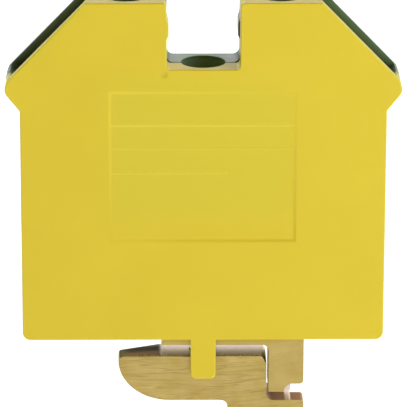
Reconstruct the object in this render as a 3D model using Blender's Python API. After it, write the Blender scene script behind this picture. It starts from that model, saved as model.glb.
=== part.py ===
"""Protective-earth feed-through terminal block for a 32 mm G-section rail.

Frame: +Z up (away from the rail), +X towards the jaw side, -Y is the yellow front side.
The origin is the centre of the bounding box's bottom: mid width, mid thickness, the foot's lowest face.
All named sizes are in millimetres and are turned into metres by mm().
"""

import math

import bmesh
import bpy
from mathutils import Matrix, Vector

# ---------------------------------------------------------------- driving sizes, in millimetres
MM = 0.001
THICKNESS = 8.0  # the block's pitch along the rail
PART_LINE_Y = -0.4  # the plane where the yellow and the green shell meet
WALL = 1.1  # front and rear wall
SEAM = 0.02  # half of the hairline gap between the shells
CLEAR = 0.1  # working clearance of a moving part in its pocket
FIT = 0.15  # clearance round a part that the shells hold still
HOLLOWS = (("side_hollow", 16.4, 22.4), ("inner_hollow", 7.2, 15.2))  # these keep the walls even
HOLLOW_LOW = 7.2
HOLLOW_HIGH = 24.4
LEG_ROOM_LOW = 4.0
HEAD_ROOM_LOW = 5.0
HEAD_ROOM_TOP = 11.0
JAW_ROOM_LOW = -1.0

HOUSING_Z = 12.6  # the housing's underside above the foot's lowest face
BODY_HALF = 23.75
SHOULDER_HALF = 25.8  # the widest point
SHOULDER_Z = 34.1
SHOULDER_LOW_Z = 31.45
LIP_X = 25.3  # lower end of the slope that takes the wire
LIP_Z = 35.55
SLOPE_TOP_X = 15.3
TOWER_TOP = 45.9  # heights from here on are above the housing's underside
RECESS_FLOOR = 37.03
RECESS_HALF = 4.75
BARB = 0.25  # how far the catches for a marker stand out of the recess's walls
TOWER_X = 10.0  # axis of each clamping screw
WELL_R = 2.86  # screwdriver wells
WELL_LOW = 39.5  # where a clamping screw's well opens into its yoke's room

MOUTH_LOW = (25.2, 35.95)  # wire funnel, seen from the front: its mouth's lower end
MOUTH_HIGH = (15.2, 46.0)
THROAT_LOW = (12.9, 27.2)
THROAT_HIGH = (14.3, 34.4)
MOUTH_FRONT_Y = -2.8
MOUTH_REAR_Y = 3.15
THROAT_FRONT_Y = -2.1
THROAT_REAR_Y = 2.7

TONGUE_HALF = 1.66
TONGUE_DROP = 5.5
TONGUE_THICK = 0.98

THREAD_R = 1.75  # M3.5
TAPPED_R = 1.8
HEAD_R = 2.65
HEAD_H = 2.0
SLOT_W = 0.9
SLOT_DEPTH = 1.1

BAR_T = 1.5  # current bar
BAR_HALF_Y = 2.75
BAR_ARM_HALF_Y = 1.95  # the arms are narrower, to pass through the yokes
BAR_ARM_START = 6.6
BAR_ARM_TOP = 33.1
BAR_BASE_TOP = 5.2
BAR_LEG_OUT = 5.6
BAR_END_X = 12.7
BAR_BEND = 1.7
WIRE_ROOM = 2.2  # free height under the arms' whole length
HOLE_R = 2.1

YOKE_HALF_X = 2.9
YOKE_HALF_Y = 2.8
YOKE_SIDE = 0.7
YOKE_JAW_TOP = 27.4
YOKE_JAW_T = 1.3
YOKE_HEAD_LOW = 33.6
YOKE_HEAD_TOP = 36.0
CLAMP_HEAD_LOW = 39.8

JAW_HALF_Y = 2.85
JAW_LEFT = -5.5
JAW_RIGHT = 13.36
JAW_BAR_LOW = -1.15
JAW_BAR_TOP = 3.6
JAW_INNER = 8.66
JAW_LOW = -6.66
LUG_RIGHT = 11.66
LUG_LOW = -7.82
LUG_CHAMFER = 0.75
FLANGE = 1.5
FLANGE_LOW = 1.3

FOOT_HALF_Y = 2.95
FOOT_TIP = -11.2
FOOT_ARM_TOP = -2.67
FOOT_ARM_LOW = -8.9
FOOT_ARM_END = 8.42
FOOT_HEEL_LEFT = 3.3
FOOT_RIGHT = 13.4
FOOT_LOW = -HOUSING_Z
HOOK_THIN_X = -5.5  # from here to its tip the hook is cut away from behind
HOOK_THIN_Y = 1.9
HOOK_TIP_Y = -0.55
HEEL_THIN_Y = -0.05  # behind this the heel ends level with the jaw's lug
RAIL_HEAD_LOW = 6.2
RAIL_TIP = -8.7

PANEL_LEFT = -12.1
PANEL_RIGHT = 11.95
PANEL_LOW = 13.8
PANEL_HIGH = 33.93
PANEL_DEPTH = 0.15

PIN_R = 0.9
SOCKET_R = 0.95
PIN_LENGTH = 1.5
PIN_SPOTS = ((-20.4, 4.2), (20.4, 4.2), (-20.4, 28.0), (20.4, 28.0))

ARC_STEPS = 5  # segments of a small corner arc
ROUND_STEPS = 32  # sides of a turned part

YELLOW = (0.78, 0.56, 0.04, 1.0)
GREEN = (0.03, 0.13, 0.05, 1.0)
BRASS = (0.62, 0.46, 0.17, 1.0)
TIN = (0.72, 0.71, 0.70, 1.0)
ZINC = (0.62, 0.64, 0.66, 1.0)


# ---------------------------------------------------------------- helpers
def mm(x, y, z):
    """A point given in millimetres, heights above the housing's underside, in metres of the part's frame."""
    return Vector((x, y, z + HOUSING_Z)) * MM


def material(name, colour, roughness, metallic):
    made = bpy.data.materials.new(name)
    made.use_nodes = True
    shader = made.node_tree.nodes["Principled BSDF"]
    shader.inputs["Base Color"].default_value = colour
    shader.inputs["Roughness"].default_value = roughness
    shader.inputs["Metallic"].default_value = metallic
    return made


def rounded(corners):
    """An outline from (x, z, radius) corners: each corner with a radius becomes an arc tangent to both sides."""
    points = []
    for i, (x, z, radius) in enumerate(corners):
        here = Vector((x, z))
        if radius <= 0:
            points.append(here)
            continue
        to_last = (Vector(corners[i - 1][:2]) - here).normalized()
        to_next = (Vector(corners[(i + 1) % len(corners)][:2]) - here).normalized()
        half = to_last.angle(to_next) / 2
        centre = here + (to_last + to_next).normalized() * radius / math.sin(half)
        start = here + to_last * radius / math.tan(half) - centre
        end = here + to_next * radius / math.tan(half) - centre
        turn = start.angle_signed(end)
        for step in range(ARC_STEPS + 1):
            points.append(centre + Matrix.Rotation(-turn * step / ARC_STEPS, 2) @ start)
    return points


def prism(name, outline, y0, y1, fill=None):
    """A closed solid: an outline in X and Z, pulled along Y from y0 to y1."""
    mesh = bpy.data.meshes.new(name)
    shape = bmesh.new()
    low = [shape.verts.new(mm(x, y0, z)) for x, z in outline]
    high = [shape.verts.new(mm(x, y1, z)) for x, z in outline]
    shape.faces.new(low)
    shape.faces.new(reversed(high))
    for i in range(len(outline)):
        j = (i + 1) % len(outline)
        shape.faces.new((low[j], low[i], high[i], high[j]))
    bmesh.ops.recalc_face_normals(shape, faces=shape.faces)
    shape.to_mesh(mesh)
    shape.free()
    return place(name, mesh, fill)


def box(name, x0, x1, z0, z1, y0, y1, fill=None):
    return prism(name, [(x0, z0), (x1, z0), (x1, z1), (x0, z1)], y0, y1, fill)


def turned(name, profile, x, fill=None, steps=ROUND_STEPS):
    """A solid of revolution about the vertical axis at x, from (radius, height) points listed upwards."""
    mesh = bpy.data.meshes.new(name)
    shape = bmesh.new()
    rings = []
    for radius, z in profile:
        ring = []
        for step in range(steps):
            angle = 2 * math.pi * (step + 0.5) / steps
            spot = mm(x + radius * math.cos(angle), radius * math.sin(angle), z)
            ring.append(shape.verts.new(spot))
        rings.append(ring)
    shape.faces.new(reversed(rings[0]))
    shape.faces.new(rings[-1])
    for low, high in zip(rings, rings[1:]):
        for i in range(steps):
            j = (i + 1) % steps
            shape.faces.new((low[i], low[j], high[j], high[i]))
    shape.to_mesh(mesh)
    shape.free()
    return place(name, mesh, fill)


def place(name, mesh, fill):
    made = bpy.data.objects.new(name, mesh)
    bpy.context.scene.collection.objects.link(made)
    if fill:
        mesh.materials.append(fill)
    return made


def combine(target, other, operation):
    """Adds a Boolean to the target and keeps the other object as a hidden helper."""
    other.hide_render = True
    other.display_type = "WIRE"
    step = target.modifiers.new(other.name, "BOOLEAN")
    step.operation = operation
    step.solver = "EXACT"
    step.object = other
    return other


def cut(target, other):
    return combine(target, other, "DIFFERENCE")


def add(target, other):
    return combine(target, other, "UNION")


def set_origin(piece, x, z):
    """Moves the object's origin to a point on its joint's axis and leaves its shape where it is."""
    spot = mm(x, 0, z)
    piece.data.transform(Matrix.Translation(-spot))
    piece.location = spot


# ---------------------------------------------------------------- housing shells
def plain_wall(top_radius):
    """The inner wall of a tower, from its top down, as (distance from the middle, height, radius)."""
    return [(RECESS_HALF, TOWER_TOP, top_radius)]


def barbed_wall(top_x, low, high):
    """An inner wall with a catch: a long slope down to it and a short one back under it."""
    proud = RECESS_HALF - BARB
    return [
        (top_x, TOWER_TOP, 0.3),
        (RECESS_HALF, high + 0.9, 0.0),
        (proud, high, 0.3),
        (proud, low + 0.5, 0.2),
        (RECESS_HALF, low, 0.0),
    ]


def housing_outline(recess_radius, left_wall, right_wall):
    """The outer profile, from the bottom right round the top and back down the left side."""

    def flank(wall):
        return [
            (BODY_HALF, 0.0, 1.0),
            (BODY_HALF, SHOULDER_LOW_Z, 0.5),
            (SHOULDER_HALF, SHOULDER_Z, 0.7),
            (LIP_X, LIP_Z, 0.3),
            (SLOPE_TOP_X, TOWER_TOP, 0.3),
            *wall,
            (RECESS_HALF, RECESS_FLOOR, recess_radius),
        ]

    left = [(-x, z, radius) for x, z, radius in reversed(flank(left_wall))]
    return rounded(flank(right_wall) + left)


def tongue_outline():
    root = 1.0  # the tongue starts inside the wall that it hangs from
    return rounded(
        [
            (-TONGUE_HALF, root, 0.0),
            (-TONGUE_HALF, -TONGUE_DROP, 0.8),
            (TONGUE_HALF, -TONGUE_DROP, 0.8),
            (TONGUE_HALF, root, 0.0),
        ]
    )


def funnel(name, side):
    """The wire funnel's inside: its four walls close in evenly from the mouth to the throat."""

    def along(first, second, share):
        return [start + (end - start) * share for start, end in zip(first, second)]

    past = 1.2  # the cutter goes on past the mouth, which is at share 1
    low = along(THROAT_LOW, MOUTH_LOW, past)
    high = along(THROAT_HIGH, MOUTH_HIGH, past)
    inner = sum(THROAT_LOW)
    outer = sum(MOUTH_LOW)

    def depths(x, z):
        share = (x + z - inner) / (outer - inner)
        front = THROAT_FRONT_Y + (MOUTH_FRONT_Y - THROAT_FRONT_Y) * share
        rear = THROAT_REAR_Y + (MOUTH_REAR_Y - THROAT_REAR_Y) * share
        return front, rear

    section = [THROAT_LOW, low, high, THROAT_HIGH, (THROAT_LOW[0], THROAT_HIGH[1] - 0.9)]
    mesh = bpy.data.meshes.new(name)
    shape = bmesh.new()
    front = [shape.verts.new(mm(side * x, depths(x, z)[0], z)) for x, z in section]
    rear = [shape.verts.new(mm(side * x, depths(x, z)[1], z)) for x, z in section]
    shape.faces.new(front)
    shape.faces.new(reversed(rear))
    for i in range(len(section)):
        j = (i + 1) % len(section)
        shape.faces.new((front[j], front[i], rear[i], rear[j]))
    bmesh.ops.recalc_face_normals(shape, faces=shape.faces)
    shape.to_mesh(mesh)
    shape.free()
    return place(name, mesh, None)


def pockets(shell, y0, y1):
    """Cuts everything that a shell holds or lets in, between y0 and y1."""
    name = shell.name
    leg_in = BAR_LEG_OUT - BAR_T - FIT
    leg_out = BAR_LEG_OUT + FIT
    arm_room_low = BAR_ARM_TOP - BAR_T - WIRE_ROOM
    arm_room_top = BAR_ARM_TOP + FIT + 0.04
    for side, sign in (("left", -1), ("right", 1)):

        def pocket(label, x0, x1, z0, z1):
            ends = sorted((sign * x0, sign * x1))
            cut(shell, box(f"{name}_{side}_{label}", *ends, z0, z1, y0, y1))

        tower_in = TOWER_X - YOKE_HALF_X - 2 * CLEAR
        tower_out = TOWER_X + YOKE_HALF_X + 2 * CLEAR
        yoke_low = YOKE_JAW_TOP - YOKE_JAW_T - 0.4
        pocket("yoke_room", tower_in, tower_out, yoke_low, WELL_LOW + 2 * CLEAR)
        pocket("leg_room", leg_in, leg_out, LEG_ROOM_LOW, BAR_ARM_TOP + FIT + 0.05)
        pocket("arm_room", leg_in + 0.01, BAR_END_X + 2 * FIT, arm_room_low, arm_room_top)
        for label, x0, x1 in HOLLOWS:
            pocket(label, x0, x1, HOLLOW_LOW, HOLLOW_HIGH)
        cut(shell, funnel(f"{name}_{side}_funnel", sign))
        bore = [(WELL_R, WELL_LOW), (WELL_R, TOWER_TOP + 1)]
        cut(shell, turned(f"{name}_{side}_well", bore, sign * TOWER_X))
    well = [(WELL_R, HEAD_ROOM_TOP - 0.5), (WELL_R, RECESS_FLOOR + 1)]
    cut(shell, turned(f"{name}_centre_well", well, 0.0))
    ends = (-leg_in - 0.01, leg_in + 0.01)
    cut(shell, box(f"{name}_head_room", *ends, HEAD_ROOM_LOW, HEAD_ROOM_TOP, y0, y1))
    ends = (JAW_LEFT - FLANGE - FIT, JAW_RIGHT + FLANGE + FIT)
    cut(shell, box(f"{name}_bar_room", *ends, FLANGE_LOW - CLEAR, BAR_BASE_TOP + FIT, y0, y1))
    ends = (JAW_LEFT - FIT, JAW_RIGHT + FIT)
    cut(shell, box(f"{name}_jaw_room", *ends, JAW_ROOM_LOW, FLANGE_LOW, y0, y1))


def front_shell(fill):
    half = THICKNESS / 2
    outline = housing_outline(0.5, barbed_wall(RECESS_HALF + 0.12, 41.0, 42.9), plain_wall(0.6))
    shell = prism("front_shell", outline, -half, PART_LINE_Y - SEAM, fill)
    tongue = prism("front_tongue", tongue_outline(), -half, -half + TONGUE_THICK)
    add(shell, tongue)
    pockets(shell, -half + WALL, PART_LINE_Y + 1)
    panel = (PANEL_LEFT, PANEL_RIGHT, PANEL_LOW, PANEL_HIGH)
    cut(shell, box("panel", *panel, -half - 1, -half + PANEL_DEPTH))
    for spot, (x, z) in enumerate(PIN_SPOTS):
        depth = PART_LINE_Y - PIN_LENGTH - 2 * CLEAR
        cut(shell, peg(f"socket_{spot}", x, z, SOCKET_R, depth, PART_LINE_Y + 1))
    return shell


def rear_shell(fill):
    half = THICKNESS / 2
    outline = housing_outline(0.9, plain_wall(0.5), barbed_wall(RECESS_HALF + 0.05, 40.1, 42.1))
    shell = prism("rear_shell", outline, PART_LINE_Y + SEAM, half, fill)
    tongue = prism("rear_tongue", tongue_outline(), half - TONGUE_THICK, half)
    add(shell, tongue)
    pockets(shell, PART_LINE_Y - 1, half - WALL)
    for spot, (x, z) in enumerate(PIN_SPOTS):
        tip = PART_LINE_Y - PIN_LENGTH
        add(shell, peg(f"pin_{spot}", x, z, PIN_R, tip, PART_LINE_Y + 1))
    return shell


def peg(name, x, z, radius, y0, y1, steps=16):
    """A round peg along Y."""
    ring = []
    for step in range(steps):
        angle = 2 * math.pi * step / steps
        ring.append((x + radius * math.cos(angle), z + radius * math.sin(angle)))
    return prism(name, ring, y0, y1)


# ---------------------------------------------------------------- metal parts
def current_bar(fill):
    """A tinned strip bent like a hat: its middle lies on the jaw, its arms run under the clamping screws."""
    leg_in = BAR_LEG_OUT - BAR_T
    arm_low = BAR_ARM_TOP - BAR_T
    base_low = BAR_BASE_TOP - BAR_T
    inner = BAR_BEND - BAR_T
    right = [
        (BAR_LEG_OUT, base_low, BAR_BEND),
        (BAR_LEG_OUT, arm_low, inner),
        (BAR_END_X, arm_low, 0.0),
        (BAR_END_X, BAR_ARM_TOP, 0.3),
        (leg_in, BAR_ARM_TOP, BAR_BEND),
        (leg_in, BAR_BASE_TOP, inner),
    ]
    left = [(-x, z, radius) for x, z, radius in reversed(right)]
    bar = prism("current_bar", rounded(right + left), -BAR_HALF_Y, BAR_HALF_Y, fill)
    cut(bar, turned("bar_hole", [(HOLE_R, 0.0), (HOLE_R, 9.0)], 0.0))
    far_x, far_y = BAR_END_X + 1, BAR_HALF_Y + 1
    heights = (arm_low - 1, BAR_ARM_TOP + 1)
    for side, x0, x1 in (("left", -far_x, -BAR_ARM_START), ("right", BAR_ARM_START, far_x)):
        for face, y0, y1 in (("front", -far_y, -BAR_ARM_HALF_Y), ("rear", BAR_ARM_HALF_Y, far_y)):
            cut(bar, box(f"bar_{side}_{face}_notch", x0, x1, *heights, y0, y1))
    return bar


def rail_contact_jaw(fill):
    """The brass bar that carries the current bar, with the fixed jaw that sits on the rail's low lip."""
    outline = rounded(
        [
            (JAW_LEFT, JAW_BAR_LOW, 0.2),
            (JAW_INNER, JAW_BAR_LOW, 0.8),
            (JAW_INNER, LUG_LOW, 0.2),
            (LUG_RIGHT, LUG_LOW, 0.0),
            (LUG_RIGHT, JAW_LOW, 0.0),
            (JAW_RIGHT, JAW_LOW, 0.5),
            (JAW_RIGHT, FLANGE_LOW, 0.0),
            (JAW_RIGHT + FLANGE, FLANGE_LOW, 0.0),
            (JAW_RIGHT + FLANGE, JAW_BAR_TOP, 0.2),
            (JAW_LEFT - FLANGE, JAW_BAR_TOP, 0.2),
            (JAW_LEFT - FLANGE, FLANGE_LOW, 0.0),
            (JAW_LEFT, FLANGE_LOW, 0.0),
        ]
    )
    jaw = prism("rail_contact_jaw", outline, -JAW_HALF_Y, JAW_HALF_Y, fill)
    cut(jaw, turned("jaw_hole", [(HOLE_R, -3.0), (HOLE_R, 5.0)], 0.0))
    past = 0.5  # how far the cutter reaches beyond the lug's front right edge
    corners = [
        (LUG_RIGHT - LUG_CHAMFER - past, -JAW_HALF_Y - past),
        (LUG_RIGHT + past, -JAW_HALF_Y - past),
        (LUG_RIGHT + past, -JAW_HALF_Y + LUG_CHAMFER + past),
    ]
    cut(jaw, upright("lug_chamfer", corners, LUG_LOW - 1, JAW_LOW))
    return jaw


def nose_arc():
    """The hook's nose: a quarter of an ellipse from the tip down to the arm's underside."""
    wide = 6.8
    start_z = FOOT_ARM_TOP - 0.6
    tall = start_z - FOOT_ARM_LOW
    points = []
    steps = 10
    for step in range(steps + 1):
        angle = math.pi / 2 * step / steps
        x = FOOT_TIP + wide * (1 - math.cos(angle))
        points.append((x, start_z - tall * math.sin(angle), 0.0))
    return points


def rail_foot(fill):
    """The moving brass foot: a hook under the rail's high lip, a heel under its low lip."""
    outline = rounded(
        [(FOOT_TIP, FOOT_ARM_TOP, 0.4)]
        + nose_arc()
        + [
            (FOOT_HEEL_LEFT, FOOT_ARM_LOW, 1.0),
            (FOOT_HEEL_LEFT, FOOT_LOW, 0.8),
            (FOOT_RIGHT, FOOT_LOW, 1.2),
            (FOOT_RIGHT, FOOT_ARM_LOW, 0.5),
            (FOOT_ARM_END, FOOT_ARM_LOW, 0.8),
            (FOOT_ARM_END, FOOT_ARM_TOP - 0.8, 0.0),
            (FOOT_ARM_END - 0.5, FOOT_ARM_TOP, 0.0),
        ]
    )
    foot = prism("rail_foot", outline, -FOOT_HALF_Y, FOOT_HALF_Y, fill)
    hole = [(TAPPED_R, FOOT_ARM_LOW - 2), (TAPPED_R, FOOT_ARM_TOP + 2)]
    cut(foot, turned("foot_thread", hole, 0.0))
    cut(foot, hook_relief())
    ends = (LUG_RIGHT, FOOT_RIGHT + 1, FOOT_LOW - 1, FOOT_ARM_LOW + 1)
    cut(foot, box("heel_relief", *ends, HEEL_THIN_Y, FOOT_HALF_Y + 1))
    return foot


def hook_relief():
    """The wedge cut from the back of the hook, so that its tip is thin."""
    past = 1.3  # the cutter goes on a little past the tip, which is at share 1
    tip_x = HOOK_THIN_X + (FOOT_TIP - HOOK_THIN_X) * past
    tip_y = HOOK_THIN_Y + (HOOK_TIP_Y - HOOK_THIN_Y) * past
    back = FOOT_HALF_Y + 1
    corners = [(HOOK_THIN_X, HOOK_THIN_Y), (HOOK_THIN_X, back), (tip_x, back), (tip_x, tip_y)]
    return upright("hook_relief", corners, FOOT_ARM_LOW - 1, FOOT_ARM_TOP + 1)


def upright(name, outline, z0, z1):
    """A closed solid: an outline in X and Y, pulled up from z0 to z1."""
    mesh = bpy.data.meshes.new(name)
    shape = bmesh.new()
    low = [shape.verts.new(mm(x, y, z0)) for x, y in outline]
    high = [shape.verts.new(mm(x, y, z1)) for x, y in outline]
    shape.faces.new(low)
    shape.faces.new(reversed(high))
    for i in range(len(outline)):
        j = (i + 1) % len(outline)
        shape.faces.new((low[j], low[i], high[i], high[j]))
    bmesh.ops.recalc_face_normals(shape, faces=shape.faces)
    shape.to_mesh(mesh)
    shape.free()
    return place(name, mesh, None)


def slotted_screw(name, x, tip, head_low, fill):
    """A cheese-head screw with a straight slot, its origin on its own axis."""
    edge = 0.25
    screw = turned(
        name,
        [
            (THREAD_R - 0.5, tip),
            (THREAD_R, tip + 0.5),
            (THREAD_R, head_low),
            (HEAD_R, head_low),
            (HEAD_R, head_low + HEAD_H - edge),
            (HEAD_R - edge, head_low + HEAD_H),
        ],
        x,
        fill,
    )
    top = head_low + HEAD_H
    ends = (x - HEAD_R - 1, x + HEAD_R + 1, top - SLOT_DEPTH, top + 1)
    slot = box(f"{name}_slot", *ends, -SLOT_W / 2, SLOT_W / 2)
    set_origin(screw, x, head_low)
    cut(screw, slot)
    return screw


def spring_washer(fill):
    """A split lock washer between the rail screw's head and the current bar."""
    low, high = BAR_BASE_TOP + 0.05, RAIL_HEAD_LOW - 0.05
    washer = turned("rail_screw_washer", [(2.75, low), (2.75, high)], 0.0, fill)
    cut(washer, turned("washer_hole", [(1.85, low - 1), (1.85, high + 1)], 0.0))
    cut(washer, box("washer_split", 1.0, 4.0, low - 1, high + 1, -0.2, 0.2))
    return washer


def clamp_yoke(name, x, fill):
    """The steel cage that lifts the wire against the current bar: a loop round the bar, tapped in its head."""
    mesh = bpy.data.meshes.new(name)
    shape = bmesh.new()
    low = YOKE_JAW_TOP - YOKE_JAW_T
    corners = rounded(
        [
            (-YOKE_HALF_Y, low, 0.8),
            (YOKE_HALF_Y, low, 0.8),
            (YOKE_HALF_Y, YOKE_HEAD_TOP, 0.8),
            (-YOKE_HALF_Y, YOKE_HEAD_TOP, 0.8),
        ]
    )
    start = [shape.verts.new(mm(x - YOKE_HALF_X, y, z)) for y, z in corners]
    face = shape.faces.new(start)
    pulled = bmesh.ops.extrude_face_region(shape, geom=[face])
    moved = [v for v in pulled["geom"] if isinstance(v, bmesh.types.BMVert)]
    bmesh.ops.translate(shape, verts=moved, vec=(2 * YOKE_HALF_X * MM, 0, 0))
    bmesh.ops.recalc_face_normals(shape, faces=shape.faces)
    shape.to_mesh(mesh)
    shape.free()
    yoke = place(name, mesh, fill)
    inner = YOKE_HALF_Y - YOKE_SIDE
    ends = (x - 5, x + 5, YOKE_JAW_TOP, YOKE_HEAD_LOW)
    window = box(f"{name}_window", *ends, -inner, inner)
    hole = [(TAPPED_R, YOKE_HEAD_LOW - 1), (TAPPED_R, YOKE_HEAD_TOP + 1)]
    thread = turned(f"{name}_thread", hole, x)
    set_origin(yoke, x, YOKE_HEAD_TOP)
    cut(yoke, window)
    cut(yoke, thread)
    return yoke


# ---------------------------------------------------------------- the assembly
def shade(piece):
    piece.data.shade_smooth()
    piece.data.set_sharp_from_angle(angle=math.radians(30))


def main():
    for old in list(bpy.data.objects):
        bpy.data.objects.remove(old)
    yellow = material("yellow_plastic", YELLOW, 0.45, 0.0)
    green = material("green_plastic", GREEN, 0.45, 0.0)
    brass = material("brass", BRASS, 0.35, 1.0)
    tin = material("tinned_copper", TIN, 0.3, 1.0)
    zinc = material("zinc_steel", ZINC, 0.35, 1.0)

    made = [front_shell(yellow), rear_shell(green), current_bar(tin)]
    made += [rail_contact_jaw(brass), rail_foot(brass), spring_washer(zinc)]
    made.append(slotted_screw("rail_screw", 0.0, RAIL_TIP, RAIL_HEAD_LOW, zinc))
    for side, x in (("left", -TOWER_X), ("right", TOWER_X)):
        made.append(clamp_yoke(f"{side}_clamp_yoke", x, zinc))
        tip = BAR_ARM_TOP + 0.05
        made.append(slotted_screw(f"{side}_clamp_screw", x, tip, CLAMP_HEAD_LOW, zinc))
    for piece in made:
        shade(piece)


main()
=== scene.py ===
"""The looks of a green and yellow earth terminal block with a brass foot for a 32 mm G rail.

Lengths are in millimetres until mm(), level() or MM turns them into the frame's metres. Heights
are above the housing's underside, as in the CAD model. -Y is the yellow front side, and the rail
runs along Y.
"""

import math
import random

import bmesh
import bpy
from mathutils import Matrix, Vector


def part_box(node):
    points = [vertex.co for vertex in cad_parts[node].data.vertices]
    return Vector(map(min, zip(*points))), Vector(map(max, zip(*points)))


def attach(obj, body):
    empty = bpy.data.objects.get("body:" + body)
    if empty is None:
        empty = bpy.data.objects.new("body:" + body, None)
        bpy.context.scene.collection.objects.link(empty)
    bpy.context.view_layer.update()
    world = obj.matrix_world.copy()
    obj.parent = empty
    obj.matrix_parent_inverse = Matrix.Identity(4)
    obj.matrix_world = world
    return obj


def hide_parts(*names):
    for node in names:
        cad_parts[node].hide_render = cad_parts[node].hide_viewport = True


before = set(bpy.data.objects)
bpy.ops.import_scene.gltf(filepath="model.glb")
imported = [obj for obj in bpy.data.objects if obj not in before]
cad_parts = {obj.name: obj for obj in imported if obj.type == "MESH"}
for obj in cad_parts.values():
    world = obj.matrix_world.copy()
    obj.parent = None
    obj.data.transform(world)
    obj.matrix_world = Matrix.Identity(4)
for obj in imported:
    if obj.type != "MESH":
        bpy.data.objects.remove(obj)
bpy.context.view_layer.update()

# ---------------------------------------------------------------- sizes in millimetres
MM = 0.001
FRONT_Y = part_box("front_shell")[0][1] / MM
REAR_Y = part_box("rear_shell")[1][1] / MM
PART_LINE_Y = -0.4
SEAM = 0.02
TOWER_TOP = 45.9
ZERO_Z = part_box("rear_shell")[1][2] / MM - TOWER_TOP  # the housing's underside in the frame

BODY_HALF = 23.75
SHOULDER_HALF = 25.87  # rounded more than in the CAD model, and ending just inside it
SHOULDER_ROUND = 1.35
SHOULDER_Z = 34.1
SHOULDER_LOW_Z = 31.45
LIP_X = 25.3  # lower end of the slope that takes the wire
LIP_Z = 35.55
SLOPE_TOP_X = 15.3
RECESS_FLOOR = 37.03
RECESS_HALF = 4.75
BARB = 0.25  # how far the recess's catches stand proud
FRONT_CATCH = (41.0, 42.9)
REAR_CATCH = (40.1, 42.1)
TOWER_X = 10.0
WELL_R = 2.86
WELL_LOW = 39.5
WALL = 1.1  # front and rear wall
CLEAR = 0.1  # working clearance of a moving part in its pocket
FIT = 0.15  # clearance round a part that the shells hold still
GAP = 0.05  # keeps metal parts from touching
HAIR = 0.01  # keeps two cutters' faces out of one plane
HOLLOWS = ((16.4, 22.4), (7.2, 15.2))  # these keep the walls even
HOLLOW_LOW = 7.2
HOLLOW_HIGH = 24.4
LEG_ROOM_LOW = 4.0
HEAD_ROOM_LOW = 5.0
HEAD_ROOM_TOP = 11.0
JAW_ROOM_LOW = -1.0

MOUTH_LOW = (25.2, 35.95)  # the wire funnel seen from the front
MOUTH_HIGH = (15.2, 46.0)
THROAT_LOW = (12.9, 27.2)
THROAT_HIGH = (14.3, 34.4)
MOUTH_FRONT_Y = -2.8
MOUTH_REAR_Y = 3.15
THROAT_FRONT_Y = -2.1
THROAT_REAR_Y = 2.7

TONGUE_HALF = 1.66
TONGUE_DROP = 5.5
TONGUE_THICK = 0.98

THREAD_R = 1.75
THREAD_PLAY = 0.05
CORE_R = 1.4
PITCH = 0.6
HEAD_R = 2.65
HEAD_H = 2.0
SLOT_W = 0.9
SLOT_DEPTH = 1.1

BAR_T = 1.5  # current bar
BAR_HALF_Y = 2.75
BAR_ARM_HALF_Y = 1.95  # the arms are narrower, to pass through the yokes
BAR_ARM_START = 6.6
BAR_ARM_TOP = 33.1
BAR_BASE_TOP = 5.2
BAR_LEG_OUT = 5.6
BAR_END_X = 12.7
BAR_BEND = 1.7
WIRE_ROOM = 2.2  # free height under the arms' whole length
HOLE_R = 2.1

YOKE_HALF_X = 2.9
YOKE_HALF_Y = 2.8
YOKE_SIDE = 0.7
YOKE_JAW_TOP = 27.4
YOKE_JAW_T = 1.3
YOKE_HEAD_LOW = 33.6
YOKE_HEAD_TOP = 36.0
YOKE_PLAY = 0.4
CLAMP_HEAD_LOW = 39.8

JAW_HALF_Y = 2.85
JAW_LEFT = -5.5
JAW_RIGHT = 13.36
JAW_BAR_LOW = -1.15
JAW_BAR_TOP = 3.6
JAW_INNER = 8.66
JAW_LOW = -6.66
LUG_RIGHT = 11.66
LUG_LOW = -7.82
LUG_CHAMFER = 0.75
FLANGE = 1.5
FLANGE_LOW = 1.3

FOOT_HALF_Y = 2.95
FOOT_TIP = -11.2
FOOT_ARM_TOP = -2.67
FOOT_ARM_LOW = -8.9
FOOT_ARM_END = 8.42
FOOT_CHAMFER_X = 0.65  # a little more than in the CAD model
FOOT_CHAMFER_Z = 1.1
FOOT_HEEL_LEFT = 3.3
FOOT_RIGHT = 13.4
FOOT_LOW = -ZERO_Z
HOOK_THIN_X = -5.5  # from here to its tip the hook is cut away from behind
HOOK_THIN_Y = 1.9
HOOK_TIP_Y = -0.55
HEEL_THIN_Y = -0.05  # behind this the heel ends level with the jaw's lug
RAIL_HEAD_LOW = 6.2
RAIL_TIP = -8.7

PANEL_LEFT = -12.1
PANEL_RIGHT = 11.95
PANEL_LOW = 13.8
PANEL_HIGH = 33.93
PANEL_DEPTH = 0.15
RULES = ((29.51, -12.0, 11.85), (26.39, -12.0, 11.85))  # the plate's whole rules: height and ends
RULE_HALF = 0.06
RULE_PROUD = 0.02
DASH_Z = 23.07  # the height of a third rule, which is a row of dashes
DASH_ROW = 15.2
DASHES = 12
RULE_WEAR = (  # height, right end and strength
    (RULES[0][0], PANEL_RIGHT, 0.35),
    (RULES[1][0], PANEL_RIGHT, 0.15),
    (DASH_Z, 3.2, 0.2),
)
PLATE_TONE_Z = 26.0  # the middle of the front's slightly greener area
GATE_MARK = (-5.08, 36.39)
SMUDGE_R = 0.65
SAW_RISE = 9.0  # how steeply the brass's saw lines curve up on the right, per metre

RIM = 0.15  # rounding of the shells' outer edges
PARTING_EDGE = 0.12  # rounding of the edges where the shells meet
WELL_EDGE = 0.12  # rounding of the wells where they break the surface
STRIP_EDGE = 0.12  # rounding of the bent strips' edges
JAW_EDGE = 0.05
FOOT_EDGE = 0.06

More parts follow.
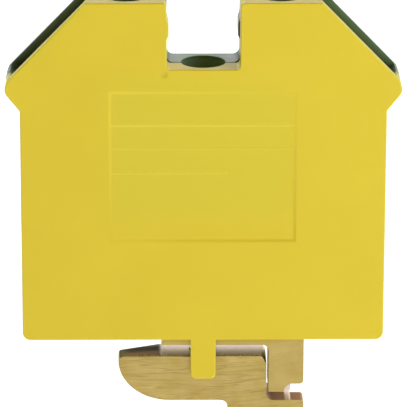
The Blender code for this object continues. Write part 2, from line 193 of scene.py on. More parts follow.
# ---------------------------------------------------------------- stage, light and camera
FLOOR_GLOW = 0.7
SKIRTING_GLOW = 0.05
BACKDROP_GLOW = 1.5
WORLD_GLOW = (0.0, 0.84)  # from the left front and from the right rear
WORLD_WAY = (0.75, 0.65)  # how far the brighter side lies to the right and behind
KEY_POWER = 0.99
KEY_SIZE = 0.22  # in metres, as is its distance
KEY_DISTANCE = 0.45
KEY_TURN = (-50, 15)  # azimuth and elevation in degrees
KEY_TARGET = (0, 0, 20)
CAMERA_LENS = 324.8
CAMERA_TARGET = (0.075, 0.0, 17.635)
CAMERA_TURN = (0.79, 18.2, 0.12)  # azimuth, elevation and roll in degrees
CAMERA_DISTANCE = 0.4826  # in metres

# ---------------------------------------------------------------- colours, as linear RGB
YELLOW = ((0.72, 0.55, 0.02), (0.69, 0.525, 0.017))  # plain, and in a flow mark
YELLOW_PLATE = (0.665, 0.54, 0.022)
YELLOW_WORN = (0.84, 0.72, 0.06)
YELLOW_SMUDGE = (0.56, 0.40, 0.015)
# painted shade: faces turned to the right take this darker yellow
YELLOW_RIGHT_SHADE = (0.60, 0.53, 0.06)
# painted light: the glow of light through the thin front wall, on faces turned up and left
YELLOW_PAINTED_GLOW = (1.0, 0.93, 0.11)
# painted shade in the seam between the shells
YELLOW_SEAM_SHADE = (0.22, 0.15, 0.03)
GREEN = ((0.105, 0.185, 0.078), (0.085, 0.16, 0.064))
# painted shade inside the wire funnels
GREEN_FUNNEL_SHADE = (0.025, 0.03, 0.018)
GREEN_DUST = (0.17, 0.26, 0.17)
# painted shade in the seam between the shells
GREEN_SEAM_SHADE = (0.03, 0.03, 0.02)
BRASS = ((0.56, 0.43, 0.165), (0.475, 0.35, 0.105))  # in paler and in deeper patches
BRASS_STREAK = (0.38, 0.28, 0.085)
BRASS_CUT = (0.27, 0.195, 0.06)
# painted shade, and a painted yellow reflection of the housing, on brass just under it
BRASS_SHADED = (0.43, 0.33, 0.055)
BRASS_SIDE = (0.50, 0.39, 0.17)
# painted highlight: pale colour for the jaw's faces turned to the front right, such as the lug's
# chamfer
BRASS_PAINTED_HIGHLIGHT = (0.74, 0.63, 0.55)
# painted shade at the front of the foot's top, and painted reflection of the backdrop towards its
# rear
FOOT_TOP_PAINTED = ((0.16, 0.115, 0.02), (0.42, 0.325, 0.285))  # at the front and at the rear
# painted shade under the burr along the foot's front top edge
BURR_PAINTED_SHADE = (0.12, 0.08, 0.025)
# painted reflection: the pale top of the foot's lower ledge
LEDGE_PAINTED_REFLECTION = (0.72, 0.60, 0.52)
# painted shade and painted reflection on the hook's top: brown at the front, nearly black in the
# middle, grey at the rear, olive at the tip
HOOK_SHADE_FRONT = (0.28, 0.19, 0.11)
HOOK_SHADE_MIDDLE = (0.055, 0.037, 0.021)
HOOK_REFLECTION_REAR = (0.42, 0.38, 0.35)
HOOK_SHADE_TIP = (0.20, 0.20, 0.12)
# painted shade on the ledge beside the jaw's lug
LEDGE_PAINTED_SHADE = (0.45, 0.25, 0.13)
TIN = (0.72, 0.71, 0.69)
ZINC = (0.60, 0.62, 0.65)


# ---------------------------------------------------------------- mesh helpers
def mm(x, y, z):
    return Vector((x, y, z + ZERO_Z)) * MM


def level(z):
    """A height as the frame's Z."""
    return (z + ZERO_Z) * MM


def link(name, data):
    made = bpy.data.objects.new(name, data)
    bpy.context.scene.collection.objects.link(made)
    return made


def rounded(corners, steps=6):
    """An outline from (x, z, radius) corners, each radius drawn as an arc tangent to both sides."""
    points = []
    for i, (x, z, radius) in enumerate(corners):
        here = Vector((x, z))
        if radius <= 0:
            points.append(here)
            continue
        to_last = (Vector(corners[i - 1][:2]) - here).normalized()
        to_next = (Vector(corners[(i + 1) % len(corners)][:2]) - here).normalized()
        half = to_last.angle(to_next) / 2
        centre = here + (to_last + to_next).normalized() * radius / math.sin(half)
        start = here + to_last * radius / math.tan(half) - centre
        end = here + to_next * radius / math.tan(half) - centre
        turn = start.angle_signed(end)
        for step in range(steps + 1):
            points.append(centre + Matrix.Rotation(-turn * step / steps, 2) @ start)
    return points


def inset(outline, distance):
    """The closed outline moved inwards; it runs anticlockwise seen from the front."""
    moved = []
    for i, here in enumerate(outline):
        before = (here - outline[i - 1]).normalized()
        after = (outline[(i + 1) % len(outline)] - here).normalized()
        normal_a = Vector((-before.y, before.x))
        normal_b = Vector((-after.y, after.x))
        moved.append(here + (normal_a + normal_b) * distance / (1 + normal_a.dot(normal_b)))
    return moved


def loft(name, rings):
    """A closed solid through rings of equally many 3-D points in millimetres."""
    shape = bmesh.new()
    rows = [[shape.verts.new(mm(*point)) for point in ring] for ring in rings]
    count = len(rows[0])
    shape.faces.new(rows[0])
    shape.faces.new(list(reversed(rows[-1])))
    for low, high in zip(rows, rows[1:]):
        for i in range(count):
            j = (i + 1) % count
            shape.faces.new((low[i], low[j], high[j], high[i]))
    bmesh.ops.remove_doubles(shape, verts=shape.verts, dist=1e-7)
    bmesh.ops.recalc_face_normals(shape, faces=shape.faces)
    mesh = bpy.data.meshes.new(name)
    shape.to_mesh(mesh)
    shape.free()
    return link(name, mesh)


def edge_steps(y0, y1, round0, round1, steps=4):
    """Pairs of (depth, inset) that draw the rounded edges at a plate's two ends."""
    near, far = [], []
    for step in range(steps + 1):
        angle = math.pi / 2 * step / steps
        run, pull = 1 - math.sin(angle), 1 - math.cos(angle)
        near.append((y0 + round0 * run, round0 * pull))
        far.append((y1 - round1 * run, round1 * pull))
    return near[::-1], far


def plate(name, outline, y0, y1, round0=0.0, round1=0.0):
    """The outline pulled from y0 to y1, with its edges rounded at either end."""
    near, far = edge_steps(y0, y1, round0, round1)
    steps = (near if round0 else [(y0, 0.0)]) + (far if round1 else [(y1, 0.0)])
    rings = []
    for depth, pull in steps:
        ring = inset(outline, pull) if pull else outline
        rings.append([(point.x, depth, point.y) for point in ring])
    return loft(name, rings)


def block(name, x0, x1, z0, z1, y0, y1):
    outline = [Vector((x0, z0)), Vector((x1, z0)), Vector((x1, z1)), Vector((x0, z1))]
    return plate(name, outline, y0, y1)


def turned(name, profile, x=0.0, steps=64):
    """A closed solid of revolution about the vertical axis at x, from (radius, height) points."""
    rings = []
    for radius, z in profile:
        ring = []
        for step in range(steps):
            angle = math.tau * step / steps
            ring.append((x + radius * math.cos(angle), radius * math.sin(angle), z))
        rings.append(ring)
    return loft(name, rings)


def drill(radius, low, high, x=0.0):
    """A plain round hole."""
    return turned("hole", [(radius, low), (radius, high)], x)


def well_cutter(x, low, top, steps=4):
    """A round well whose mouth is rounded where it breaks the surface."""
    profile = [(WELL_R, low)]
    for step in range(steps + 1):
        angle = math.pi / 2 * step / steps
        z = top - WELL_EDGE + WELL_EDGE * math.sin(angle)
        profile.append((WELL_R + WELL_EDGE * (1 - math.cos(angle)), z))
    profile.append((WELL_R + WELL_EDGE, top + 1.0))
    return turned("well", profile, x)


def freeze(piece):
    """Applies the piece's modifiers."""
    bpy.context.view_layer.update()
    depsgraph = bpy.context.evaluated_depsgraph_get()
    mesh = bpy.data.meshes.new_from_object(piece.evaluated_get(depsgraph))
    piece.modifiers.clear()
    piece.data = mesh


def boolean(target, others, operation):
    """Joins or cuts the target with each other solid, and removes those solids."""
    for other in others:
        step = target.modifiers.new(other.name, "BOOLEAN")
        step.operation = operation
        step.solver = "EXACT"
        step.object = other
    freeze(target)
    for other in others:
        bpy.data.objects.remove(other)


def cut(target, *others):
    boolean(target, others, "DIFFERENCE")


def add(target, *others):
    boolean(target, others, "UNION")


def soften(piece, width):
    """Rounds the edges that the outlines left sharp."""
    bevel = piece.modifiers.new("soft edges", "BEVEL")
    bevel.width = width * MM
    bevel.segments = 2
    bevel.limit_method = "ANGLE"
    bevel.angle_limit = math.radians(40)
    freeze(piece)


def finish_piece(piece, body, slot, look, *nodes):
    """Shades the piece, gives it its material and lets it stand for its CAD nodes."""
    mesh = piece.data
    mesh.materials.clear()
    mesh.materials.append(look)
    mesh.shade_smooth()
    mesh.set_sharp_from_angle(angle=math.radians(35))
    even = piece.modifiers.new("even normals", "WEIGHTED_NORMAL")
    even.keep_sharp = True
    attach(piece, body)
    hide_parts(*nodes)


# ---------------------------------------------------------------- node helpers
def new_material(name):
    look = bpy.data.materials.new(name)
    look.use_nodes = True
    tree = look.node_tree
    return look, tree, tree.nodes["Principled BSDF"]


def node(tree, kind, **settings):
    made = tree.nodes.new(kind)
    for key, value in settings.items():
        setattr(made, key, value)
    return made


def noise(tree, scale, detail=2.0, roughness=0.5, place=None):
    """Noise with its scale in features per metre, over the piece's own or the given coordinates."""
    made = node(tree, "ShaderNodeTexNoise")
    made.inputs["Scale"].default_value = scale
    made.inputs["Detail"].default_value = detail
    made.inputs["Roughness"].default_value = roughness
    if place is None:
        place = node(tree, "ShaderNodeTexCoord").outputs["Object"]
    tree.links.new(place, made.inputs["Vector"])
    return made.outputs["Fac"]


def blend(tree, factor, first, second):
    """Mixes two colours, each a socket or an RGB triple."""
    made = node(tree, "ShaderNodeMix", data_type="RGBA")
    for name, value in (("A", first), ("B", second)):
        socket = [s for s in made.inputs if s.name == name and s.type == "RGBA"][0]
        if isinstance(value, tuple):
            socket.default_value = (*value, 1.0)
        else:
            tree.links.new(value, socket)
    fac = [s for s in made.inputs if s.name == "Factor" and s.type == "VALUE"][0]
    tree.links.new(factor, fac)
    return [s for s in made.outputs if s.type == "RGBA"][0]


def bump(tree, height, distance, onto=None):
    made = node(tree, "ShaderNodeBump")
    made.inputs["Distance"].default_value = distance * MM
    tree.links.new(height, made.inputs["Height"])
    if onto:
        tree.links.new(onto, made.inputs["Normal"])
    return made.outputs["Normal"]


def ramp(tree, value, low, high, start=0.0, end=1.0, course="SMOOTHSTEP"):
    """Runs from start to end as the value goes from low to high, and stays level outside."""
    made = node(tree, "ShaderNodeMapRange", interpolation_type=course)
    made.inputs["From Min"].default_value = low
    made.inputs["From Max"].default_value = high
    made.inputs["To Min"].default_value = start
    made.inputs["To Max"].default_value = end
    tree.links.new(value, made.inputs["Value"])
    return made.outputs["Result"]


def spread(tree, value, low, high):
    """Runs from low to high over the middle values of a noise, where nearly all of it lies."""
    return ramp(tree, value, 0.3, 0.7, low, high, "LINEAR")


def math_node(tree, operation, *values):
    """A calculation with sockets and plain numbers."""
    made = node(tree, "ShaderNodeMath", operation=operation)
    for slot, value in zip(made.inputs, values):
        if isinstance(value, (int, float)):
            slot.default_value = value
        else:
            tree.links.new(value, slot)
    return made.outputs["Value"]


def plus(tree, first, second):
    return math_node(tree, "ADD", first, second)


def minus(tree, first, second):
    return math_node(tree, "SUBTRACT", first, second)


def times(tree, first, *others):
    for other in others:
        first = math_node(tree, "MULTIPLY", first, other)
    return first


def larger(tree, first, second):
    return math_node(tree, "MAXIMUM", first, second)


def magnitude(tree, value):
    return math_node(tree, "ABSOLUTE", value)


def parts(tree, output):
    """The X, Y and Z of texture coordinates of the given kind."""
    place = node(tree, "ShaderNodeTexCoord")
    split = node(tree, "ShaderNodeSeparateXYZ")
    tree.links.new(place.outputs[output], split.inputs["Vector"])
    return split.outputs["X"], split.outputs["Y"], split.outputs["Z"]


# ---------------------------------------------------------------- materials
def rule_wear(tree, across, height):
    """Where handling has rubbed the rating plate's raised rules pale, the top one most."""
    wear = 0.0
    for z, right, strength in RULE_WEAR:
        off = magnitude(tree, minus(tree, height, level(z)))
        line = ramp(tree, off, 0.1 * MM, 0.26 * MM, strength, 0.0)
        start = ramp(tree, across, PANEL_LEFT * MM, (PANEL_LEFT + 0.2) * MM)
        end = ramp(tree, across, (right - 0.2) * MM, right * MM, 1.0, 0.0)
        wear = larger(tree, times(tree, line, start, end), wear)
    return wear


def smudge(tree, across, height):
    """A darker spot round the gate mark."""
    spot = mm(GATE_MARK[0], 0, GATE_MARK[1])
    wide = minus(tree, across, spot.x)
    high = minus(tree, height, spot.z)
    off = plus(tree, times(tree, wide, wide), times(tree, high, high))
    return ramp(tree, off, 0.0, (SMUDGE_R * MM) ** 2, 0.5, 0.0)


def yellow_details(tree, base):
    """The front's greener middle, worn rules and smudge; painted shade on right-facing faces and at
    the seam; painted light on up-left faces.
    """
    across, deep, height = parts(tree, "Object")
    facing = parts(tree, "Normal")
    wide = ramp(tree, magnitude(tree, across), 9 * MM, 15 * MM, 1.0, 0.0)
    high = magnitude(tree, minus(tree, height, level(PLATE_TONE_Z)))
    high = ramp(tree, high, 6 * MM, 13 * MM, 1.0, 0.0)
    base = blend(tree, times(tree, wide, high), base, YELLOW_PLATE)
    front = ramp(tree, deep, (FRONT_Y + 0.2) * MM, (FRONT_Y + 0.3) * MM, 1.0, 0.0)
    wear = rule_wear(tree, across, height)
    base = blend(tree, times(tree, wear, front), base, YELLOW_WORN)
    spot = smudge(tree, across, height)
    base = blend(tree, times(tree, spot, front), base, YELLOW_SMUDGE)
    # painted shade: faces turned to the right are painted darker
    base = blend(tree, ramp(tree, facing[0], 0.3, 0.7), base, YELLOW_RIGHT_SHADE)
    # painted light standing in for light through the thin wall: faces turned up and left, and down
    # and right, are painted paler
    slope = ramp(tree, times(tree, facing[0], facing[2]), -0.25, -0.05, 1.0, 0.0)
    base = blend(tree, slope, base, YELLOW_PAINTED_GLOW)
    # painted shade: the yellow is painted darker next to the seam
    seam = ramp(tree, deep, (PART_LINE_Y - 0.35) * MM, PART_LINE_Y * MM, 0.0, 0.8)
    return blend(tree, seam, base, YELLOW_SEAM_SHADE)


def funnel_painted_shade(tree, across, deep, height):
    """Where shade is painted into the wire funnels, fading towards their outer ends; the left has
    more.
    """
    out = magnitude(tree, across)
    end = MOUTH_LOW[0] * MM + level(MOUTH_LOW[1])
    within = ramp(tree, plus(tree, out, height), end - 1.7 * MM, end, 1.0, 0.0)
    rise = (MOUTH_LOW[1] - THROAT_LOW[1]) / (MOUTH_LOW[0] - THROAT_LOW[0])
    sill = level(MOUTH_LOW[1]) - rise * MOUTH_LOW[0] * MM
    floor = minus(tree, height, times(tree, out, rise))
    floor = ramp(tree, floor, sill - 0.63 * MM, sill - 0.13 * MM)
    lean = (MOUTH_HIGH[0] - THROAT_HIGH[0]) / (MOUTH_HIGH[1] - THROAT_HIGH[1])
    edge = MOUTH_HIGH[0] * MM - lean * level(MOUTH_HIGH[1])
    wall = minus(tree, out, times(tree, height, lean))
    wall = ramp(tree, wall, edge - 0.4 * MM, edge)
    rear = ramp(tree, deep, (MOUTH_REAR_Y + 0.02) * MM, (MOUTH_REAR_Y + 0.2) * MM, 1.0, 0.0)
    side = ramp(tree, across, -RECESS_HALF * MM, RECESS_HALF * MM, 1.0, 0.65)
    return times(tree, within, floor, wall, rear, side)


def green_details(tree, base):
    """Painted shade in the wire funnels and along the seam, and dust in the middle well."""
    across, deep, height = parts(tree, "Object")
    # painted shade in the wire funnels
    base = blend(tree, funnel_painted_shade(tree, across, deep, height), base, GREEN_FUNNEL_SHADE)
    low = ramp(tree, height, level(RECESS_FLOOR - 0.5), level(RECESS_FLOOR - 0.2), 1.0, 0.0)
    out = magnitude(tree, across)
    near = ramp(tree, out, (WELL_R + 0.34) * MM, (WELL_R + 0.74) * MM, 0.8, 0.0)
    base = blend(tree, times(tree, low, near), base, GREEN_DUST)
    # painted shade: the green is painted darker next to the seam
    seam = ramp(tree, deep, PART_LINE_Y * MM, (PART_LINE_Y + 0.4) * MM, 0.8, 0.0)
    return blend(tree, seam, base, GREEN_SEAM_SHADE)


def moulded_plastic(name, colours, roughness, specular, details):
    """Satin polyamide: faint flow marks, a fine spark-eroded grain and an uneven gloss."""
    look, tree, shader = new_material(name)
    flow = spread(tree, noise(tree, 90, 3.0), 0.0, 1.0)
    base = details(tree, blend(tree, flow, *colours))
    tree.links.new(base, shader.inputs["Base Color"])
    shader.inputs["Specular IOR Level"].default_value = specular
    gloss = spread(tree, noise(tree, 700), roughness - 0.04, roughness + 0.05)
    tree.links.new(gloss, shader.inputs["Roughness"])
    grain = bump(tree, noise(tree, 9000), 0.004)
    waves = bump(tree, noise(tree, 260, 1.0), 0.02, grain)
    tree.links.new(waves, shader.inputs["Normal"])
    return look


def saw_course(tree, place, squeeze):
    """Coordinates that follow the saw's cuts, which are level on the left and rise to the right."""
    across, deep, height = place
    right = larger(tree, across, 0.0)
    rise = times(tree, right, right, SAW_RISE)
    made = node(tree, "ShaderNodeCombineXYZ")
    tree.links.new(times(tree, across, squeeze), made.inputs["X"])
    tree.links.new(deep, made.inputs["Y"])
    tree.links.new(minus(tree, height, rise), made.inputs["Z"])
    return made.outputs["Vector"]


def sawn_face(tree, place, lines):
    """The colour of a sawn face and the height of its streaks and cuts."""
    across, _, height = place
    streaks = noise(tree, 2600, 3.0, 0.6, saw_course(tree, place, 0.025))
    broad = noise(tree, 1000, place=saw_course(tree, place, 0.035))
    folds = math_node(tree, "PINGPONG", times(tree, broad, 11.0), 0.5)
    cuts = ramp(tree, folds, 0.0, 0.11, 0.38 * lines, 0.0)
    brass = blend(tree, spread(tree, noise(tree, 420, 3.0), 0.0, 1.0), *BRASS)
    brass = blend(tree, spread(tree, streaks, 0.27 - 0.2 * lines, 0.42), brass, BRASS_STREAK)
    brass = blend(tree, cuts, brass, BRASS_CUT)
    # painted shade and a painted yellow reflection on the brass just under the housing
    shade = ramp(tree, height, level(JAW_BAR_LOW + 0.05), level(JAW_BAR_LOW + 0.65), 0.0, 0.9)
    shade = times(tree, shade, ramp(tree, across, 8.0 * MM, 11.0 * MM, 1.0, 0.4))
    return blend(tree, shade, brass, BRASS_SHADED), minus(tree, streaks, cuts)


def side_with_painted_light(tree, place, up):
    """The colour of the foot's other faces, with painted shade and painted reflection on top, and
    where the painted dark makes them dull.
    """
    across, deep, height = place
    front = -FOOT_HALF_Y * MM
    # painted shade near the top's front edge and painted reflection towards its rear, with a ragged
    # border
    mottle = plus(tree, deep, times(tree, noise(tree, 1500, 3.0), 1.6 * MM))
    top = blend(tree, ramp(tree, mottle, front + 1.4 * MM, 3.0 * MM), *FOOT_TOP_PAINTED)
    # painted shade: a ragged dark line under the burr at the front top edge
    burr_shade = plus(tree, deep, times(tree, noise(tree, 3500), 1.4 * MM))
    burr_shade = ramp(tree, burr_shade, front + 0.75 * MM, front + 0.95 * MM, 0.85, 0.0)
    top = blend(tree, burr_shade, top, BURR_PAINTED_SHADE)
    # painted reflection: the lower ledge's top is painted pale
    ledge = ramp(tree, height, level(FOOT_ARM_LOW + 0.9), level(FOOT_ARM_LOW + 1.4), 1.0, 0.0)
    top = blend(tree, ledge, top, LEDGE_PAINTED_REFLECTION)

    # where the hook's top is painted with shade and reflection
    hook = plus(tree, across, times(tree, noise(tree, 900), 0.5 * MM))
    hook = ramp(tree, hook, (HOOK_THIN_X - 0.4) * MM, (HOOK_THIN_X + 0.6) * MM, 1.0, 0.0)
    # painted shade on the ledge under the lug and to its right, leaving a pale strip between
    left = ramp(tree, across, (LUG_RIGHT - 0.91) * MM, (LUG_RIGHT - 0.66) * MM, 1.0, 0.0)
    right = ramp(tree, across, (LUG_RIGHT - 0.1) * MM, (LUG_RIGHT + 0.1) * MM)
    ledge = times(tree, ledge, larger(tree, left, right))
    dark = times(tree, up, larger(tree, hook, ledge))

    # painted shade and painted reflection across the hook's top, darkest in the middle
    slope = (HOOK_THIN_Y - HOOK_TIP_Y) / (HOOK_THIN_X - FOOT_TIP)
    lens = times(tree, minus(tree, across, FOOT_TIP * MM), 0.5 * slope)
    lens = minus(tree, minus(tree, deep, lens), (HOOK_TIP_Y - 0.3) * MM)
    painted_dark = blend(tree, ramp(tree, lens, -1.7 * MM, -0.3 * MM), HOOK_SHADE_FRONT, HOOK_SHADE_MIDDLE)
    painted_dark = blend(tree, ramp(tree, lens, 0.3 * MM, 1.6 * MM), painted_dark, HOOK_REFLECTION_REAR)
    tip = ramp(tree, across, FOOT_TIP * MM, (FOOT_TIP + 2.2) * MM, 0.8, 0.0)
    painted_dark = blend(tree, tip, painted_dark, HOOK_SHADE_TIP)
    painted_dark = blend(tree, ledge, painted_dark, LEDGE_PAINTED_SHADE)
    return blend(tree, dark, blend(tree, up, BRASS_SIDE, top), painted_dark), dark


def sawn_brass(name, lines, shade_painted):
    """Brass whose front and rear faces keep saw lines, while its drawn sides are smooth and paler.

    A piece with painted shade is also painted dark on top of its hook, under the jaw's lug and
    along its front edge.
    Any other has a painted highlight, pale and less metallic, on faces turned to the front right.
    """
    look, tree, shader = new_material(name)
    place = parts(tree, "Object")
    right, front, up = parts(tree, "Normal")
    brass, relief = sawn_face(tree, place, lines)
    sawn = ramp(tree, magnitude(tree, front), 0.78, 0.95)
    if shade_painted:
        lip = ramp(tree, place[2], level(FOOT_ARM_TOP), level(FOOT_ARM_TOP + 0.06))
        sawn = larger(tree, sawn, lip)
        side, dark = side_with_painted_light(tree, place, ramp(tree, up, 0.5, 0.8))
        dull = times(tree, dark, 0.9)
    else:
        # painted highlight: faces turned to the front right are painted pale and made less metallic
        painted_highlight = ramp(tree, times(tree, right, front), -0.4, -0.2, 1.0, 0.0)
        side = blend(tree, painted_highlight, BRASS_SIDE, BRASS_PAINTED_HIGHLIGHT)
        dull = times(tree, painted_highlight, 0.7)
    rough = ramp(tree, sawn, 0.0, 1.0, 0.3, 0.42)
    if shade_painted:
        rough = larger(tree, rough, times(tree, dark, 0.85))
    tree.links.new(blend(tree, sawn, side, brass), shader.inputs["Base Color"])
    tree.links.new(minus(tree, 1.0, dull), shader.inputs["Metallic"])
    tree.links.new(rough, shader.inputs["Roughness"])
    relief = bump(tree, times(tree, relief, sawn), 0.03 * lines)
    tree.links.new(relief, shader.inputs["Normal"])
    return look


def plated(name, colour, roughness):
    """Plated metal with a fine uneven sheen."""
    look, tree, shader = new_material(name)
    shader.inputs["Metallic"].default_value = 1.0
    patches = spread(tree, noise(tree, 500, 3.0), 0.0, 1.0)
    dim = tuple(0.86 * c for c in colour)
    tree.links.new(blend(tree, patches, colour, dim), shader.inputs["Base Color"])
    sheen = spread(tree, noise(tree, 1500), roughness - 0.06, roughness + 0.08)
    tree.links.new(sheen, shader.inputs["Roughness"])
    tree.links.new(bump(tree, noise(tree, 4000), 0.004), shader.inputs["Normal"])
    return look


# ---------------------------------------------------------------- housing shells
def plain_wall(top_radius):
    """A tower's inner wall, from its top down, as (distance from the middle, height, radius)."""
    return [(RECESS_HALF, TOWER_TOP, top_radius)]


def barbed_wall(top_x, catch):
    """An inner wall with a catch: a long slope down to it and a short one back under it."""
    low, high = catch
    proud = RECESS_HALF - BARB
    return [
        (top_x, TOWER_TOP, 0.3),
        (RECESS_HALF, high + 0.9, 0.0),
        (proud, high, 0.3),
        (proud, low + 0.5, 0.2),
        (RECESS_HALF, low, 0.0),
    ]


def housing_outline(recess_radius, left_wall, right_wall):
    """The outer profile, from the bottom right round the top and back down the left side."""

    def flank(wall):
        return [
            (BODY_HALF, 0.0, 1.0),
            (BODY_HALF, SHOULDER_LOW_Z, 0.5),
            (SHOULDER_HALF, SHOULDER_Z, SHOULDER_ROUND),
            (LIP_X, LIP_Z, 0.3),
            (SLOPE_TOP_X, TOWER_TOP, 0.3),
            *wall,
            (RECESS_HALF, RECESS_FLOOR, recess_radius),
        ]

    left = [(-x, z, radius) for x, z, radius in reversed(flank(left_wall))]
    return rounded(flank(right_wall) + left)


def tongue(y0, y1, round0, round1):
    root = 1.0  # it starts inside the wall that it hangs from
    outline = rounded(
        [
            (-TONGUE_HALF, root, 0.0),
            (-TONGUE_HALF, -TONGUE_DROP, 0.8),
            (TONGUE_HALF, -TONGUE_DROP, 0.8),
            (TONGUE_HALF, root, 0.0),
        ]
    )
    return plate("tongue", outline, y0, y1, round0, round1)


def between(first, second, share):
    return tuple(start + (end - start) * share for start, end in zip(first, second))


def funnel(side):
    """The wire funnel's inside, its walls closing in evenly from the mouth to the throat."""
    inner, outer = sum(THROAT_LOW), sum(MOUTH_LOW)

    def depth(x, z, y):
        """Where a point at y, from -1 for the front wall to 1 for the rear one, really lies."""
        share = (x + z - inner) / (outer - inner)
        front = THROAT_FRONT_Y + (MOUTH_FRONT_Y - THROAT_FRONT_Y) * share
        rear = THROAT_REAR_Y + (MOUTH_REAR_Y - THROAT_REAR_Y) * share
        return (front + rear) / 2 + y * (rear - front) / 2

    rings = []
    for share in (0.0, 0.5, 1.2):
        low = Vector(between(THROAT_LOW, MOUTH_LOW, share))
        high = Vector(between(THROAT_HIGH, MOUTH_HIGH, share))
        ring = slanted_ring(high, low, 0.55, 0.2)
        rings.append([(side * x, depth(x, z, y), z) for x, y, z in ring])
    return loft("funnel", rings)


def slanted_ring(top, bottom, radius, radius_y, steps=4):
    """A rounded rectangle that spans from top to bottom in X and Z, and from -1 to 1 in depth."""
    length = (bottom - top).length
    way = (bottom - top).normalized()
    corners = ((length - radius, 1 - radius_y), (radius, 1 - radius_y))
    corners += ((radius, radius_y - 1), (length - radius, radius_y - 1))
    ring = []
    for i, (run, y) in enumerate(corners):
        for step in range(steps + 1):
            angle = math.pi / 2 * (i + step / steps)
            spot = top + way * (run + radius * math.cos(angle))
            ring.append((spot.x, y + radius_y * math.sin(angle), spot.y))
    return ring


def pocket_cutters(y0, y1):
    """Everything that a shell holds or lets in, as in the CAD model."""
    cutters = []
    leg_in = BAR_LEG_OUT - BAR_T - FIT
    arm_room_low = BAR_ARM_TOP - BAR_T - WIRE_ROOM
    tower_in = TOWER_X - YOKE_HALF_X - 2 * CLEAR
    tower_out = TOWER_X + YOKE_HALF_X + 2 * CLEAR
    yoke_low = YOKE_JAW_TOP - YOKE_JAW_T - YOKE_PLAY
    bar_room_top = BAR_ARM_TOP + FIT + 0.05
    rooms = [
        (tower_in, tower_out, yoke_low, WELL_LOW + 2 * CLEAR),
        (leg_in, BAR_LEG_OUT + FIT, LEG_ROOM_LOW, bar_room_top),
        (leg_in + HAIR, BAR_END_X + 2 * FIT, arm_room_low, bar_room_top - HAIR),
    ]
    rooms += [(x0, x1, HOLLOW_LOW, HOLLOW_HIGH) for x0, x1 in HOLLOWS]
    for side in (-1, 1):
        for x0, x1, z0, z1 in rooms:
            ends = sorted((side * x0, side * x1))
            cutters.append(block("room", *ends, z0, z1, y0, y1))
        cutters.append(funnel(side))
        cutters.append(well_cutter(side * TOWER_X, WELL_LOW, TOWER_TOP))
    cutters.append(well_cutter(0.0, HEAD_ROOM_TOP - 0.5, RECESS_FLOOR))
    head = leg_in + HAIR
    cutters.append(block("room", -head, head, HEAD_ROOM_LOW, HEAD_ROOM_TOP, y0, y1))
    ends = (JAW_LEFT - FLANGE - FIT, JAW_RIGHT + FLANGE + FIT)
    cutters.append(block("room", *ends, FLANGE_LOW - CLEAR, BAR_BASE_TOP + FIT, y0, y1))
    ends = (JAW_LEFT - FIT, JAW_RIGHT + FIT)
    cutters.append(block("room", *ends, JAW_ROOM_LOW, FLANGE_LOW, y0, y1))
    return cutters


def sloped_field(name, x0, x1, z0, z1, profile):
    """A low field on the front: (depth, growth) pairs draw its slanted sides."""
    rings = []
    for depth, grow in profile:
        y = FRONT_Y + depth
        left, right, low, high = x0 - grow, x1 + grow, z0 - grow, z1 + grow
        rings.append([(left, y, low), (right, y, low), (right, y, high), (left, y, high)])
    return loft(name, rings)


def panel_cutter():
    """The recessed rating plate, with sloped sides and a soft edge."""
    slope = ((0.02, 0.17), (0.05, 0.06), (0.1, -0.04), (0.13, -0.14))
    profile = ((-0.5, 0.3), (0.0, 0.3), *slope, (PANEL_DEPTH, -0.28))
    return sloped_field("panel", PANEL_LEFT, PANEL_RIGHT, PANEL_LOW, PANEL_HIGH, profile)


def panel_rules():
    """The plate's faint raised rules: two whole ones and a row of short dashes."""
    lines = [(x0, x1, z) for z, x0, x1 in RULES]
    pitch = DASH_ROW / DASHES
    for dash in range(DASHES):
        x = PANEL_LEFT + 0.2 + dash * pitch
        lines.append((x, x + 0.62 * pitch, DASH_Z))
    profile = ((PANEL_DEPTH - RULE_PROUD, 0.02), (PANEL_DEPTH + 0.2, 0.22))
    return [
        sloped_field("rule", x0, x1, z - RULE_HALF, z + RULE_HALF, profile) for x0, x1, z in lines
    ]


def gate_mark(steps=20):
    """The shallow round dimple where the moulding's sprue was."""
    rings = []
    for depth, radius in ((-0.3, 0.6), (0.0, 0.55), (0.04, 0.42), (0.07, 0.24), (0.08, 0.06)):
        ring = []
        for step in range(steps):
            angle = math.tau * step / steps
            x = GATE_MARK[0] + radius * math.cos(angle)
            ring.append((x, FRONT_Y + depth, GATE_MARK[1] + radius * math.sin(angle)))
        rings.append(ring)
    return loft("gate mark", rings)


def front_shell(look):
    outline = housing_outline(0.5, barbed_wall(RECESS_HALF + 0.12, FRONT_CATCH), plain_wall(0.6))
    edges = (RIM, PARTING_EDGE)
    shell = plate("front_shell_body", outline, FRONT_Y, PART_LINE_Y - SEAM, *edges)
    add(shell, tongue(FRONT_Y, FRONT_Y + TONGUE_THICK, *edges))
    cut(shell, *pocket_cutters(FRONT_Y + WALL, PART_LINE_Y + 1))
    cut(shell, panel_cutter(), gate_mark())
    add(shell, *panel_rules())
    finish_piece(shell, "housing", "yellow_plastic", look, "front_shell")


def rear_shell(look):
    outline = housing_outline(0.9, plain_wall(0.5), barbed_wall(RECESS_HALF + 0.05, REAR_CATCH))
    edges = (PARTING_EDGE, RIM)
    shell = plate("rear_shell_body", outline, PART_LINE_Y + SEAM, REAR_Y, *edges)
    add(shell, tongue(REAR_Y - TONGUE_THICK, REAR_Y, *edges))
    cut(shell, *pocket_cutters(PART_LINE_Y - 1, REAR_Y - WALL))
    finish_piece(shell, "housing", "green_plastic", look, "rear_shell")


